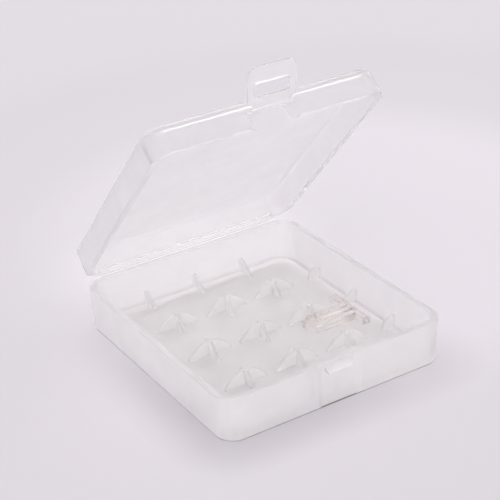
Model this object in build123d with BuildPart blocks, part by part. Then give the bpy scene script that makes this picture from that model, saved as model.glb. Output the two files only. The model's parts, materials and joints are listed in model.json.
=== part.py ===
from build123d import *
import os

# Battery storage box with a bi-fold film hinge and a fold-over latch.
# Millimetres, +Z up, origin at the middle of the underside.
# X runs along the hinge, and the hinge is at the back, on the +Y side.
# Every piece is drawn with the box shut, then swung to the pose of the photograph.

# Pose of the photograph
lid_opening = 47.0
flap_opening = 125.0

# Outer shell, measured at the rim
box_width = 72.0
box_depth = 80.0
corner_radius = 6.0
wall = 2.0
base_height = 13.4
lid_height = 8.4
parting_gap = 0.3
base_floor = 1.6
lid_panel = 1.3
base_draft = 0.28
lid_draft = 0.2
bottom_edge_radius = 1.0
panel_edge_radius = 1.6
base_floor_fillet = 1.2
lid_corner_fillet = 1.0
floor_corner_radius = 7.0
rim_edge_radius = 0.3

# Dividers between the cells
lane_count = 4
divider_height = 4.6
wall_fin_height = 4.0
blade_thickness = 1.0
lane_blade_reach = 5.0
lane_blade_top = 1.1
lane_blade_radius = 0.9
cross_blade_reach = 7.0
end_fin_reach = 6.2
end_fin_top = 1.3
side_fin_reach = 4.0
blade_root = 0.4

# Film hinge at the back
strap_length = 59.6
strap_height = 1.5
strap_thickness = 0.8
film_offset = 0.5
film_gap = 0.05
land_height = 1.0
land_gap = 0.1
slot_end_gap = 0.4

# Finger recess on the front of the base, the bulge behind it, and the catch
recess_width = 10.4
recess_depth = 1.2
recess_bevel = 2.2
bulge_depth = 1.2
bulge_width = 14.4
bulge_bevel = 2.0
catch_width = 8.2
catch_reach = 0.9
catch_underside = 10.5
catch_lip = 0.4
catch_slope_height = 1.3

# Latch flap on the front of the lid
flap_hinge_height = 4.6
flap_width = 14.8
flap_length = 12.5
flap_thickness = 1.1
flap_stand_off = 0.3
flap_corner_radius = 3.0
neck_width = 11.4
neck_thickness = 0.5
neck_length = 1.3
neck_ramp = 1.3
shoulder_length = 1.4
latch_clearance = 0.3
window_width = 10.8
window_start = 3.6
window_corner_radius = 0.6
flap_edge_radius = 0.25
notch_clearance = 0.4
notch_bevel = 2.6
notch_rise = 1.1
latch_land_height = 0.8
latch_land_root = 0.4

# Loose clear clip lying on the floor of the tray
clip_thickness = 2.2
clip_stem_front = -9.2
clip_stem_back = -1.6
clip_tip_overhang = 4.66
clip_tip_slant = 3.2
clip_bar_width = 2.4
clip_bar_front = -13.0
clip_bar_back = 4.2
clip_clearance = 0.3
clip_groove_width = 0.9
clip_groove_depth = 0.6
clip_groove_spacing = 2.6
clip_edge_chamfer = 0.25

# Values that follow from the sizes above
half_width = box_width / 2
half_depth = box_depth / 2
bulge_foot_y = -half_depth + wall
lid_rim = base_height + parting_gap
lid_top = lid_rim + lid_height
floor_width = box_width - 2 * wall - 2 * base_draft
floor_depth = box_depth - 2 * wall - 2 * base_draft
inner_radius = corner_radius - wall
side_pitch = floor_width / lane_count
lane_pitch = floor_depth / lane_count
divider_steps = [step - lane_count / 2 for step in range(1, lane_count)]
film_y = half_depth + film_offset
lid_film_z = base_height + strap_height
flap_hinge_z = base_height + flap_hinge_height
flap_inner_y = -half_depth - flap_stand_off
flap_hinge_y = flap_inner_y - neck_thickness / 2
window_end = flap_hinge_z - catch_underside + latch_clearance
notch_half = flap_width / 2 + notch_clearance
strap_slot_half = strap_length / 2 + slot_end_gap

base_film = Axis((0, film_y, base_height), (-1, 0, 0))
lid_film = Axis((0, film_y, lid_film_z), (-1, 0, 0))
latch_film = Axis((0, flap_hinge_y, flap_hinge_z), (-1, 0, 0))


# Outlines of the blades, drawn about the line between two cells with the floor at zero
with BuildSketch() as lane_blade:
    with BuildLine():
        Polyline(
            (-lane_blade_top, divider_height),
            (-lane_blade_reach, 0),
            (-lane_blade_reach, -blade_root),
            (lane_blade_reach, -blade_root),
            (lane_blade_reach, 0),
            (lane_blade_top, divider_height),
            close=True,
        )
    make_face()
    fillet(lane_blade.vertices().group_by(Axis.Y)[-1], lane_blade_radius)
with BuildSketch() as cross_blade:
    with BuildLine():
        Bezier((-cross_blade_reach, 0), (0, 2 * divider_height), (cross_blade_reach, 0))
        Polyline(
            (cross_blade_reach, 0),
            (cross_blade_reach, -blade_root),
            (-cross_blade_reach, -blade_root),
            (-cross_blade_reach, 0),
        )
    make_face()
with BuildSketch() as end_fin:
    with BuildLine():
        Polyline(
            (-blade_root, wall_fin_height),
            (end_fin_top, wall_fin_height),
            (end_fin_reach, 0),
            (end_fin_reach, -blade_root),
            (-blade_root, -blade_root),
            close=True,
        )
    make_face()
    fillet(end_fin.vertices().group_by(Axis.Y)[-1].sort_by(Axis.X)[-1], lane_blade_radius)
with BuildSketch() as side_fin:
    with BuildLine():
        Bezier((0, wall_fin_height), (side_fin_reach, wall_fin_height), (side_fin_reach, 0))
        Polyline(
            (side_fin_reach, 0),
            (side_fin_reach, -blade_root),
            (-blade_root, -blade_root),
            (-blade_root, wall_fin_height),
            (0, wall_fin_height),
        )
    make_face()

# Cavity of the tray, taken out of the base
with BuildPart() as tray_cavity:
    with BuildSketch(Plane.XY.offset(base_floor)):
        RectangleRounded(floor_width, floor_depth, floor_corner_radius)
    with BuildSketch(Plane.XY.offset(base_height)):
        RectangleRounded(box_width - 2 * wall, box_depth - 2 * wall, inner_radius)
    loft()
    fillet(tray_cavity.faces().sort_by(Axis.Z)[0].edges(), base_floor_fillet)

# Base with its dividers, wall fins, hinge land and catch
with BuildPart() as base_tray:
    with BuildSketch():
        RectangleRounded(
            box_width - 2 * base_draft,
            box_depth - 2 * base_draft,
            corner_radius - base_draft,
        )
    with BuildSketch(Plane.XY.offset(base_height)):
        RectangleRounded(box_width, box_depth, corner_radius)
    loft()
    fillet(base_tray.faces().sort_by(Axis.Z)[0].edges(), bottom_edge_radius)
    add(tray_cavity.part, mode=Mode.SUBTRACT)
    # Bulge that carries the front wall inwards behind the recess
    with BuildSketch(Plane.XY.offset(base_floor - blade_root)):
        with BuildLine():
            Polyline(
                (-bulge_width / 2 - bulge_bevel, bulge_foot_y),
                (-bulge_width / 2, bulge_foot_y + bulge_depth),
                (bulge_width / 2, bulge_foot_y + bulge_depth),
                (bulge_width / 2 + bulge_bevel, bulge_foot_y),
                (bulge_width / 2 + bulge_bevel, bulge_foot_y - blade_root),
                (-bulge_width / 2 - bulge_bevel, bulge_foot_y - blade_root),
                close=True,
            )
        make_face()
    extrude(amount=base_height - base_floor + blade_root)
    # Finger recess with bevelled sides down the front wall
    with BuildSketch(Plane.XZ.offset(half_depth)):
        with Locations((0, base_height / 2)):
            Rectangle(recess_width + 2 * recess_bevel, base_height)
    with BuildSketch(Plane.XZ.offset(half_depth - recess_depth)):
        with Locations((0, base_height / 2)):
            Rectangle(recess_width, base_height)
    loft(mode=Mode.SUBTRACT)
    fillet(base_tray.faces().sort_by(Axis.Z)[-1].edges(), rim_edge_radius)
    # Blades across the lanes, which keep the cells from rolling
    for step in divider_steps:
        with BuildSketch(Plane.YZ.offset(step * side_pitch)):
            with Locations(*((row * lane_pitch, base_floor) for row in divider_steps)):
                add(lane_blade.sketch)
            with Locations((-floor_depth / 2, base_floor)):
                add(end_fin.sketch)
            with Locations((floor_depth / 2, base_floor)):
                add(end_fin.sketch.mirror(Plane.YZ))
        extrude(amount=blade_thickness / 2, both=True)
    # Blades along the lanes, which part one cell from the next
    for row in divider_steps:
        with BuildSketch(Plane.XZ.offset(-row * lane_pitch)):
            with Locations(*((step * side_pitch, base_floor) for step in divider_steps)):
                add(cross_blade.sketch)
            with Locations((-floor_width / 2, base_floor)):
                add(side_fin.sketch)
            with Locations((floor_width / 2, base_floor)):
                add(side_fin.sketch.mirror(Plane.YZ))
        extrude(amount=blade_thickness / 2, both=True)
    # Land that carries the lower film of the hinge
    with BuildSketch(Plane.YZ.offset(-strap_length / 2)):
        with BuildLine():
            Polyline(
                (half_depth - wall / 2, base_height - film_gap - land_height),
                (half_depth - base_draft, base_height - film_gap - land_height),
                (film_y - land_gap, base_height - film_gap - land_height / 2),
                (film_y - land_gap, base_height - film_gap),
                (half_depth - wall / 2, base_height - film_gap),
                close=True,
            )
        make_face()
    extrude(amount=strap_length)
    # Catch with a sloped lead-in, standing in the recess
    with BuildSketch(Plane.YZ.offset(-catch_width / 2)):
        with BuildLine():
            Polyline(
                (-half_depth + recess_depth + blade_root, catch_underside),
                (-half_depth - catch_reach, catch_underside),
                (-half_depth - catch_reach, catch_underside + catch_lip),
                (-half_depth + recess_depth, catch_underside + catch_lip + catch_slope_height),
                (-half_depth + recess_depth + blade_root, catch_underside + catch_lip + catch_slope_height),
                close=True,
            )
        make_face()
    extrude(amount=catch_width)

# Strap between the two films
with BuildPart() as hinge_strap:
    with BuildSketch(Plane.YZ.offset(-strap_length / 2)):
        with Locations((film_y, base_height + strap_height / 2)):
            Rectangle(strap_thickness, strap_height - 2 * film_gap)
    extrude(amount=strap_length)
    fillet(hinge_strap.edges().filter_by(Axis.X), strap_thickness / 4)

# Hollow of the lid, open downwards
with BuildPart() as lid_cavity:
    with BuildSketch(Plane.XY.offset(lid_rim)):
        RectangleRounded(box_width - 2 * wall, box_depth - 2 * wall, inner_radius)
    with BuildSketch(Plane.XY.offset(lid_top - lid_panel)):
        RectangleRounded(
            box_width - 2 * wall - 2 * lid_draft,
            box_depth - 2 * wall - 2 * lid_draft,
            inner_radius,
        )
    loft()
    fillet(lid_cavity.faces().sort_by(Axis.Z)[-1].edges(), lid_corner_fillet)

# Lid with the notch for the latch and the slot for the strap
with BuildPart() as lid_shell:
    with BuildSketch(Plane.XY.offset(lid_rim)):
        RectangleRounded(box_width, box_depth, corner_radius)
    with BuildSketch(Plane.XY.offset(lid_top)):
        RectangleRounded(
            box_width - 2 * lid_draft,
            box_depth - 2 * lid_draft,
            corner_radius - lid_draft,
        )
    loft()
    fillet(lid_shell.faces().sort_by(Axis.Z)[-1].edges(), panel_edge_radius)
    add(lid_cavity.part, mode=Mode.SUBTRACT)
    fillet(lid_shell.faces().sort_by(Axis.Z)[0].edges(), rim_edge_radius)
    # Slot along the back rim, as high as the strap
    with BuildSketch(Plane.XZ.offset(-half_depth + wall + lid_draft)):
        with Locations((0, (lid_rim + lid_film_z) / 2)):
            Rectangle(2 * strap_slot_half, lid_film_z - lid_rim)
    extrude(amount=-(wall + lid_draft), mode=Mode.SUBTRACT)
    # Land that carries the upper film of the hinge
    with BuildSketch(Plane.YZ.offset(-strap_length / 2)):
        with BuildLine():
            Polyline(
                (half_depth - wall / 2, lid_film_z + film_gap + land_height),
                (half_depth - lid_draft, lid_film_z + film_gap + land_height),
                (film_y - land_gap, lid_film_z + film_gap + land_height / 2),
                (film_y - land_gap, lid_film_z + film_gap),
                (half_depth - wall / 2, lid_film_z + film_gap),
                close=True,
            )
        make_face()
    extrude(amount=strap_length)
    # Notch in the front rim with bevelled sides, which narrows inwards
    with BuildSketch(Plane.XZ.offset(half_depth)):
        with Locations((0, (lid_rim + flap_hinge_z) / 2)):
            Rectangle(2 * notch_half, flap_hinge_z - lid_rim)
    with BuildSketch(Plane.XZ.offset(half_depth - wall - lid_draft)):
        with Locations((0, (lid_rim + flap_hinge_z + notch_rise) / 2)):
            Rectangle(2 * (notch_half - notch_bevel), flap_hinge_z + notch_rise - lid_rim)
    loft(mode=Mode.SUBTRACT)
    # Land that carries the film of the latch
    with BuildSketch(Plane.XZ.offset(half_depth - latch_land_root)):
        with Locations((0, flap_hinge_z + latch_land_height / 2)):
            Rectangle(neck_width, latch_land_height)
    extrude(amount=latch_land_root + flap_stand_off - film_gap)

# Latch flap with a thin neck, two shoulders and a window for the catch
with BuildPart() as latch_flap:
    with BuildSketch(Plane.XZ.offset(-flap_inner_y)):
        with BuildLine():
            Polyline(
                (-neck_width / 2, flap_hinge_z - neck_length),
                (-flap_width / 2, flap_hinge_z - neck_length - shoulder_length),
                (-flap_width / 2, flap_hinge_z - flap_length),
                (flap_width / 2, flap_hinge_z - flap_length),
                (flap_width / 2, flap_hinge_z - neck_length - shoulder_length),
                (neck_width / 2, flap_hinge_z - neck_length),
                close=True,
            )
        make_face()
    extrude(amount=flap_thickness)
    fillet(latch_flap.edges().filter_by(Axis.Y).group_by(Axis.Z)[0], flap_corner_radius)
    with BuildSketch(Plane.XZ.offset(-flap_inner_y)):
        with Locations((0, flap_hinge_z - (window_start + window_end) / 2)):
            RectangleRounded(window_width, window_end - window_start, window_corner_radius)
    extrude(amount=flap_thickness, mode=Mode.SUBTRACT)
    fillet(latch_flap.faces().sort_by(Axis.Y)[0].edges(), flap_edge_radius)
    # Ramp from the thin neck up to the full thickness
    with BuildSketch(Plane.YZ.offset(-flap_width / 2)):
        with BuildLine():
            Polyline(
                (flap_inner_y - neck_thickness, flap_hinge_z - neck_length),
                (flap_inner_y - flap_thickness, flap_hinge_z - neck_length),
                (flap_inner_y - flap_thickness, flap_hinge_z - neck_length - neck_ramp),
                close=True,
            )
        make_face()
    extrude(amount=flap_width, mode=Mode.SUBTRACT)
    with BuildSketch(Plane.XZ.offset(-flap_inner_y)):
        with Locations((0, flap_hinge_z - (film_gap + neck_length + blade_root) / 2)):
            Rectangle(neck_width, neck_length + blade_root - film_gap)
    extrude(amount=neck_thickness)

# Clear clip, a flat T with two grooves and a notch that clears the blade beside it
clip_stem_start = side_pitch - clip_tip_overhang
clip_bar_end = floor_width / 2 - side_fin_reach - clip_clearance
with BuildPart() as clear_clip:
    with BuildSketch(Plane.XY.offset(base_floor)):
        with BuildLine():
            Polyline(
                (clip_stem_start, (clip_stem_front + clip_stem_back) / 2 + clip_tip_slant / 2),
                (clip_stem_start + clip_tip_slant, clip_stem_back),
                (clip_bar_end - clip_bar_width, clip_stem_back),
                (clip_bar_end - clip_bar_width, clip_bar_back),
                (clip_bar_end, clip_bar_back),
                (clip_bar_end, clip_bar_front),
                (clip_bar_end - clip_bar_width, clip_bar_front),
                (clip_bar_end - clip_bar_width, clip_stem_front),
                (clip_stem_start + clip_tip_slant / 2, clip_stem_front),
                close=True,
            )
        make_face()
    extrude(amount=clip_thickness)
    chamfer(clear_clip.faces().sort_by(Axis.Z)[-1].edges(), clip_edge_chamfer)
    # Notch over the tail of the divider blade
    with BuildSketch(Plane.XY.offset(base_floor)):
        with Locations((side_pitch, (clip_stem_back - lane_blade_reach - clip_clearance) / 2)):
            Rectangle(
                blade_thickness + 2 * clip_clearance,
                lane_blade_reach + clip_clearance + clip_stem_back,
            )
    extrude(amount=clip_thickness, mode=Mode.SUBTRACT)
    # Grooves along the stem, between the notch and the bar
    with BuildSketch(Plane.XY.offset(base_floor + clip_thickness)):
        groove_start = side_pitch + blade_thickness + clip_clearance
        groove_end = clip_bar_end - clip_bar_width / 2
        groove_middle = (clip_stem_front + clip_stem_back) / 2
        with Locations(
            ((groove_start + groove_end) / 2, groove_middle - clip_groove_spacing / 2),
            ((groove_start + groove_end) / 2, groove_middle + clip_groove_spacing / 2),
        ):
            SlotOverall(groove_end - groove_start, clip_groove_width)
    extrude(amount=-clip_groove_depth, mode=Mode.SUBTRACT)


def swing_lid(solid):
    """Swing a closed-box solid with the lid, half of the opening at each film."""
    return solid.rotate(lid_film, lid_opening / 2).rotate(base_film, lid_opening / 2)


parts = {
    "base_tray": base_tray.part,
    "hinge_strap": hinge_strap.part.rotate(base_film, lid_opening / 2),
    "lid_shell": swing_lid(lid_shell.part),
    "latch_flap": swing_lid(latch_flap.part.rotate(latch_film, flap_opening)),
    "clear_clip": clear_clip.part,
}

os.makedirs("parts", exist_ok=True)
for name, solid in parts.items():
    solid.label = name
    export_step(solid, f"parts/{name}.step")
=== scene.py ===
"""Looks of the battery storage box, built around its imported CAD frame. Metres, same frame as the CAD."""

import json
import math

import bpy
from mathutils import Matrix, Vector

MM = 0.001

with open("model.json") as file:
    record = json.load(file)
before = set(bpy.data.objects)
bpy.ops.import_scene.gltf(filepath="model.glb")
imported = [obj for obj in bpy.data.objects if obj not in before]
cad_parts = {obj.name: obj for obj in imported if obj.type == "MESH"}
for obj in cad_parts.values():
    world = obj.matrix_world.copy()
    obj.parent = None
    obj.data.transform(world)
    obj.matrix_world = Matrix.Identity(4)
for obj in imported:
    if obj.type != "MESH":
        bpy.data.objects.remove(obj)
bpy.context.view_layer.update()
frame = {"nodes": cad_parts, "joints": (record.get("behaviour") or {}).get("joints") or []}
nodes = frame["nodes"]

# Polypropylene turns white where it is bent, and these white lines also carry a painted highlight for the
# bright glints along the films. By the joint that stands for each film: half length of the fold, reach of
# the white, and how far its middle lies from the joint's axis in y and z
folds = {
    "strap_hinge": (29.8 * MM, 0.36 * MM, (0.0, 0.0)),
    "lid_hinge": (29.8 * MM, 0.36 * MM, (0.0, 0.0)),
    "latch_hinge": (7.0 * MM, 1.3 * MM, (-0.489 * MM, -0.466 * MM)),
}
# Colour and roughness of the fold lines: stress whitening with a painted highlight
fold_white_and_glint_colour = (1.0, 0.985, 0.98, 1)
fold_white_and_glint_roughness = 0.25

# Surface of every moulding: flow marks and grains in a metre, and the polished skin over the hazy body
flow_marks = 70.0
grains = 1900.0
skin_roughness = 0.04
skin_density = 1.49

# Outline of the foot of the tray on the floor
foot_half_width = 34.8 * MM
foot_half_depth = 38.8 * MM
foot_radius = 5.0 * MM

# Paper: its radius and how far it lies below the foot
floor_radius = 3.0
floor_drop = 0.05 * MM
# Painted shade: the paper is darker under the tray, from the first to the second distance within the outline
# of the foot
under_shade_colour = (0.57, 0.549, 0.558, 1)
under_shade_reach = (1.0 * MM, 4.0 * MM)
# Painted contact shadow: a dark line where the foot touches the paper, full up to the first distance from
# the outline and gone at the second
contact_shadow_colour = (0.12, 0.1, 0.12, 1)
contact_shadow_share = 0.86
contact_shadow_reach = (0.25 * MM, 0.85 * MM)
# Painted soft shade in front of the tray, of this share of the contact shadow colour and this reach
shade_share = 0.2
shade_reach = 16 * MM
# It fades from front left to back right: weight of x beside y, and where it is full and where it ends
shade_lean = 0.6
shade_fade = (-40 * MM, 15 * MM)
# Fibres in a metre and their height
fibres_in_metre = 900.0
fibre_height = 0.05 * MM


# Small helpers for node materials

def put(tree, socket, value):
    """Sets a socket to a number or colour, or links another socket to it."""
    if isinstance(value, bpy.types.NodeSocket):
        tree.links.new(value, socket)
    else:
        socket.default_value = value


def new_material(name):
    """An empty node material, its tree, its output node and the object's own coordinates."""
    material = bpy.data.materials.new(name)
    material.use_nodes = True
    tree = material.node_tree
    tree.nodes.clear()
    output = tree.nodes.new("ShaderNodeOutputMaterial")
    return material, tree, output, tree.nodes.new("ShaderNodeTexCoord").outputs["Object"]


def noise(tree, place, scale, detail=2.0, rough=0.5):
    """A noise texture over the object's own coordinates; scale is in features a metre."""
    texture = tree.nodes.new("ShaderNodeTexNoise")
    texture.inputs["Scale"].default_value = scale
    texture.inputs["Detail"].default_value = detail
    texture.inputs["Roughness"].default_value = rough
    tree.links.new(place, texture.inputs["Vector"])
    return texture.outputs["Fac"]


def spread(tree, value, low, high, start=0.35, end=0.65):
    """The value mapped from start..end to low..high."""
    mapped = tree.nodes.new("ShaderNodeMapRange")
    mapped.inputs["From Min"].default_value = start
    mapped.inputs["From Max"].default_value = end
    mapped.inputs["To Min"].default_value = low
    mapped.inputs["To Max"].default_value = high
    tree.links.new(value, mapped.inputs["Value"])
    return mapped.outputs["Result"]


def mix(tree, factor, first, second):
    """A Mix Shader of two shaders. The factor is a number or a socket."""
    node = tree.nodes.new("ShaderNodeMixShader")
    for socket, value in zip(node.inputs, (factor, first, second)):
        put(tree, socket, value)
    return node.outputs[0]


def blend(tree, mode, factor, first, second):
    """A Mix node of two colours. Factor and colours are values or sockets."""
    node = tree.nodes.new("ShaderNodeMix")
    node.data_type = "RGBA"
    node.blend_type = mode
    for socket, value in (("Factor", factor), ("A", first), ("B", second)):
        put(tree, node.inputs[socket], value)
    return node.outputs["Result"]


def math_node(tree, operation, *values):
    """A Math node of one or two values, each a number or a socket."""
    node = tree.nodes.new("ShaderNodeMath")
    node.operation = operation
    for socket, value in zip(node.inputs, values):
        put(tree, socket, value)
    return node.outputs[0]


def axes_of(tree, place):
    """The x, y and z of a place as sockets by name."""
    axes = tree.nodes.new("ShaderNodeSeparateXYZ")
    tree.links.new(place, axes.inputs[0])
    return axes.outputs


def bump(tree, height, strength, distance):
    """The normal of a surface with the given height over it."""
    node = tree.nodes.new("ShaderNodeBump")
    node.inputs["Strength"].default_value = strength
    node.inputs["Distance"].default_value = distance
    tree.links.new(height, node.inputs["Height"])
    return node.outputs[0]


def whitening_and_glint_mask(tree, place):
    """1 on the lines where the films fold, 0 away from them: the mask of the stress whitening and the
    painted highlight there.
    """
    axes = axes_of(tree, place)
    total = None
    for joint in frame["joints"]:
        half_length, reach, (shift_y, shift_z) = folds[joint["name"]]
        fold_x, fold_y, fold_z = joint["pos_m"]
        across = math_node(tree, "POWER", math_node(tree, "SUBTRACT", axes["Y"], fold_y + shift_y), 2.0)
        upward = math_node(tree, "POWER", math_node(tree, "SUBTRACT", axes["Z"], fold_z + shift_z), 2.0)
        distance = math_node(tree, "SQRT", math_node(tree, "ADD", across, upward))
        near = spread(tree, distance, 1.0, 0.0, 0.6 * reach, reach)
        within = math_node(tree, "LESS_THAN", math_node(tree, "ABSOLUTE", axes["X"]), fold_x + half_length)
        line = math_node(tree, "MULTIPLY", near, within)
        total = line if total is None else math_node(tree, "MAXIMUM", total, line)
    return total


def plastic(name, tint, glow_colour, milk, glow, rough, gloss, grain, lamp_share, density):
    """Moulded polypropylene: clear to milky, with flow marks, a fine grain and soft scatter inside.

    milk is the share of light that the surface scatters back and glow the share that it lets through
    softly. milk and rough are (least, most) over the flow marks. gloss is the weight of the polished skin
    over the hazy body, grain is the depth of the surface texture in metres, lamp_share is how much lamp
    light passes straight on to what lies behind, and density is the index of refraction."""
    material, tree, output, place = new_material(name)
    flow = noise(tree, place, flow_marks, 3.0, 0.55)
    shell = tree.nodes.new("ShaderNodeBsdfPrincipled")
    shell.distribution = "MULTI_GGX"
    shell.inputs["Base Color"].default_value = (*tint, 1)
    shell.inputs["IOR"].default_value = density
    shell.inputs["Coat Weight"].default_value = gloss
    shell.inputs["Coat Roughness"].default_value = skin_roughness
    shell.inputs["Coat IOR"].default_value = skin_density
    tree.links.new(spread(tree, flow, 1 - milk[0], 1 - milk[1]), shell.inputs["Transmission Weight"])
    tree.links.new(spread(tree, flow, *rough), shell.inputs["Roughness"])
    tree.links.new(bump(tree, noise(tree, place, grains), 1.0, grain), shell.inputs["Normal"])
    through = tree.nodes.new("ShaderNodeBsdfTranslucent")
    through.inputs["Color"].default_value = (*glow_colour, 1)
    # White fold lines: stress whitening with a painted highlight for the glints along the films
    whitened_glint = tree.nodes.new("ShaderNodeBsdfPrincipled")
    whitened_glint.inputs["Base Color"].default_value = fold_white_and_glint_colour
    whitened_glint.inputs["Roughness"].default_value = fold_white_and_glint_roughness
    clear = tree.nodes.new("ShaderNodeBsdfTransparent")
    lamp_ray = tree.nodes.new("ShaderNodeLightPath").outputs["Is Shadow Ray"]
    milky = mix(tree, glow, shell.outputs[0], through.outputs[0])
    with_fold_glint = mix(tree, whitening_and_glint_mask(tree, place), milky, whitened_glint.outputs[0])
    lit = mix(tree, math_node(tree, "MULTIPLY", lamp_ray, lamp_share), with_fold_glint, clear.outputs[0])
    tree.links.new(lit, output.inputs["Surface"])
    return material


def clothe(node, material):
    """Gives a CAD node its material."""
    piece = nodes[node]
    piece.data.materials.clear()
    piece.data.materials.append(material)


# Materials of the box

tray_plastic = plastic(
    "tray_plastic", tint=(1.0, 0.996, 0.997), glow_colour=(0.995, 0.985, 0.99), milk=(0.23, 0.28), glow=0.29,
    rough=(0.14, 0.19), gloss=0.15, grain=0.002 * MM, lamp_share=0.84, density=1.24,
)
lid_plastic = plastic(
    "lid_plastic", tint=(1.0, 0.996, 0.999), glow_colour=(0.995, 0.985, 0.995), milk=(0.16, 0.19), glow=0.16,
    rough=(0.17, 0.22), gloss=0.03, grain=0.001 * MM, lamp_share=0.88, density=1.32,
)
film_plastic = plastic(
    "film_plastic", tint=(1.0, 0.997, 0.999), glow_colour=(0.995, 0.985, 0.995), milk=(0.14, 0.18),
    glow=0.14, rough=(0.15, 0.2), gloss=0.15, grain=0.001 * MM, lamp_share=0.92, density=1.24,
)
clip_plastic = plastic(
    "clip_plastic", tint=(1.0, 0.98, 0.97), glow_colour=(1.0, 0.97, 0.96), milk=(0.05, 0.08), glow=0.12,
    rough=(0.02, 0.04), gloss=0.0, grain=0.001 * MM, lamp_share=0.95, density=1.2,
)
clothe("base_tray", tray_plastic)
clothe("lid_shell", lid_plastic)
clothe("hinge_strap", film_plastic)
clothe("latch_flap", film_plastic)
clothe("clear_clip", clip_plastic)

# The clip stands on the tray floor, so its faces are drawn in a hair and the two don't share a plane
drawn_in = nodes["clear_clip"].modifiers.new("drawn_in", "DISPLACE")
drawn_in.mid_level = 0
drawn_in.strength = -0.02 * MM


# Pale paper floor

def rim_distance(tree, axes):
    """Distance on the floor from the outline of the tray's foot, less than 0 under the tray."""
    beyond, overlap = [], []
    for axis, half in (("X", foot_half_width), ("Y", foot_half_depth)):
        from_middle = math_node(tree, "ABSOLUTE", axes[axis])
        past = math_node(tree, "SUBTRACT", from_middle, half - foot_radius)
        beyond.append(math_node(tree, "POWER", math_node(tree, "MAXIMUM", past, 0.0), 2.0))
        overlap.append(past)
    outside = math_node(tree, "SQRT", math_node(tree, "ADD", *beyond))
    inside = math_node(tree, "MINIMUM", math_node(tree, "MAXIMUM", *overlap), 0.0)
    return math_node(tree, "SUBTRACT", math_node(tree, "ADD", outside, inside), foot_radius)


def painted_light_pool(tree, place, middle, reach, tint, shades):
    """A round pool of painted light on the floor: the tint in the given shares, from its edge at reach to
    its middle.
    """
    centre = tree.nodes.new("ShaderNodeMapping")
    centre.vector_type = "TEXTURE"
    centre.inputs["Location"].default_value = middle
    centre.inputs["Scale"].default_value = reach
    tree.links.new(place, centre.inputs["Vector"])
    round_fade = tree.nodes.new("ShaderNodeTexGradient")
    round_fade.gradient_type = "SPHERICAL"
    tree.links.new(centre.outputs["Vector"], round_fade.inputs["Vector"])
    ramp = tree.nodes.new("ShaderNodeValToRGB")
    ramp.color_ramp.interpolation = "EASE"
    while len(ramp.color_ramp.elements) < len(shades):
        ramp.color_ramp.elements.new(0.5)
    for stop, (position, shade) in zip(ramp.color_ramp.elements, shades):
        stop.position = position
        stop.color = (*(shade * part for part in tint), 1)
    tree.links.new(round_fade.outputs["Fac"], ramp.inputs["Fac"])
    return ramp.outputs["Color"]


def painted_contact_shadow(tree, axes, rim):
    """Share of the painted contact shadow colour: the thin painted shadow line round the foot and the
    painted soft shade in front of it.
    """
    close = math_node(tree, "ABSOLUTE", rim)
    line = spread(tree, close, contact_shadow_share, 0.0, *contact_shadow_reach)
    leaned = math_node(tree, "MULTIPLY", axes["X"], shade_lean)
    forward = spread(tree, math_node(tree, "ADD", leaned, axes["Y"]), 1.0, 0.0, *shade_fade)
    shade = math_node(tree, "MULTIPLY", spread(tree, rim, shade_share, 0.0, 0.0, shade_reach), forward)
    return math_node(tree, "MAXIMUM", line, shade)


def floor_material():
    """Matt pale paper with painted light and shade: two painted pools of light, painted shade under the
    tray, a thin painted shadow line where the foot of the tray touches it and a painted soft shade in front
    of it.
    """
    material, tree, output, place = new_material("floor_paper")
    axes = axes_of(tree, place)
    rim = rim_distance(tree, axes)
    # Painted light on the paper: a wide pool, lighter behind and right of the box, and a small warm pool
    # just behind it
    wide = painted_light_pool(
        tree, place, middle=(60 * MM, 50 * MM, 0), reach=(200 * MM, 200 * MM, 200 * MM),
        tint=(1.0, 0.953, 1.01),
        shades=((0.0, 0.738), (0.2, 0.72), (0.4, 0.73), (0.62, 0.8), (0.8, 0.795), (1.0, 0.775)),
    )
    behind = painted_light_pool(
        tree, place, middle=(13 * MM, 62 * MM, 0), reach=(55 * MM, 40 * MM, 50 * MM),
        tint=(1.0, 1.08, 0.78),
        shades=((0.0, 0.0), (0.75, 0.11)),
    )
    lit = blend(tree, "ADD", 1.0, wide, behind)
    # Painted shade under the tray
    under = spread(tree, rim, 1.0, 0.0, -under_shade_reach[1], -under_shade_reach[0])
    shaded = blend(tree, "MIX", under, lit, under_shade_colour)
    # Painted contact shadow and soft shade round the foot of the tray
    colour = blend(tree, "MIX", painted_contact_shadow(tree, axes, rim), shaded, contact_shadow_colour)
    paper = tree.nodes.new("ShaderNodeBsdfPrincipled")
    paper.inputs["Roughness"].default_value = 0.85
    paper.inputs["Specular IOR Level"].default_value = 0.1
    fibres = noise(tree, place, fibres_in_metre)
    tree.links.new(bump(tree, fibres, 0.3, fibre_height), paper.inputs["Normal"])
    tree.links.new(colour, paper.inputs["Base Color"])
    tree.links.new(paper.outputs[0], output.inputs["Surface"])
    return material


bpy.ops.mesh.primitive_circle_add(
    vertices=96, radius=floor_radius, fill_type="NGON", location=(0, 0, -floor_drop)
)
floor = bpy.context.object
floor.name = "floor"
floor.data.materials.append(floor_material())


# Soft light

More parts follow.
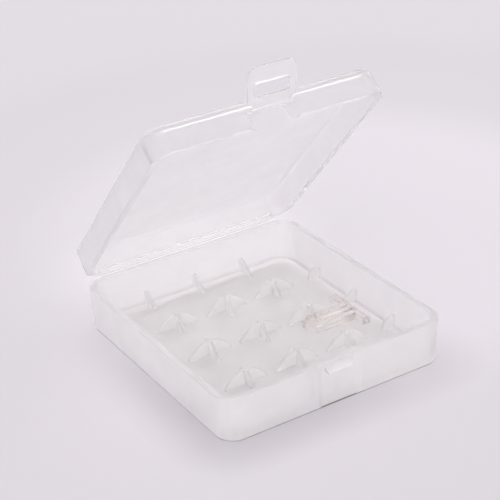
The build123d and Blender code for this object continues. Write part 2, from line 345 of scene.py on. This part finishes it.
def lamp(name, place, target, size, power, colour):
    """A square soft lamp at place, facing target."""
    data = bpy.data.lights.new(name, "AREA")
    data.size = size
    data.energy = power
    data.color = colour
    holder = bpy.data.objects.new(name, data)
    holder.location = place
    holder.rotation_mode = "QUATERNION"
    holder.rotation_quaternion = (Vector(target) - Vector(place)).to_track_quat("-Z", "Y")
    bpy.context.scene.collection.objects.link(holder)


world = bpy.data.worlds.new("studio")
bpy.context.scene.world = world
world.use_nodes = True
sky = world.node_tree.nodes["Background"]
sky.inputs["Color"].default_value = (0.97, 0.95, 0.98, 1)
sky.inputs["Strength"].default_value = 0.8
lamp("key", (0.95, 1.25, 2.05), target=(0, 0, 0), size=1.1, power=15.5, colour=(1.0, 0.985, 0.96))
lamp("fill", (-0.6, -1.5, 1.5), target=(0, 0, 0.02), size=1.2, power=6.0, colour=(1.0, 0.985, 0.98))


# Camera at the photograph's angle, solved from the straight edges of the box. Distance and shifts are in
# millimetres, the focal length is in pixels of a picture 500 pixels wide

azimuth, elevation, roll = math.radians(-30.705), math.radians(27.411), math.radians(-3.323)
distance, shift_x, shift_y = 418.795, 3.065, -26.033
focal_pixels, picture_pixels = 1449.732, 500
back = Vector((
    math.sin(azimuth) * math.cos(elevation),
    -math.cos(azimuth) * math.cos(elevation),
    math.sin(elevation),
))
right = (-back).cross(Vector((0, 0, 1))).normalized()
up = right.cross(-back)
turned_right = math.cos(roll) * right + math.sin(roll) * up
turned_up = -math.sin(roll) * right + math.cos(roll) * up
camera_data = bpy.data.cameras.new("camera")
camera_data.sensor_width = 36.0
camera_data.lens = focal_pixels / picture_pixels * camera_data.sensor_width
camera_data.clip_start, camera_data.clip_end = 0.01, 20.0
camera = bpy.data.objects.new("camera", camera_data)
camera_place = (distance * back - shift_x * turned_right - shift_y * turned_up) * MM
turned = Matrix((turned_right, turned_up, back)).transposed().to_4x4()
camera.matrix_world = Matrix.Translation(camera_place) @ turned
bpy.context.scene.collection.objects.link(camera)
bpy.context.scene.camera = camera
bpy.context.scene.view_settings.view_transform = "Standard"

# Light crosses many clear and milky walls here, so its paths may be long
paths = bpy.context.scene.cycles
paths.max_bounces = 64
paths.diffuse_bounces = 32
paths.transmission_bounces = 64
paths.glossy_bounces = 32
paths.transparent_max_bounces = 32
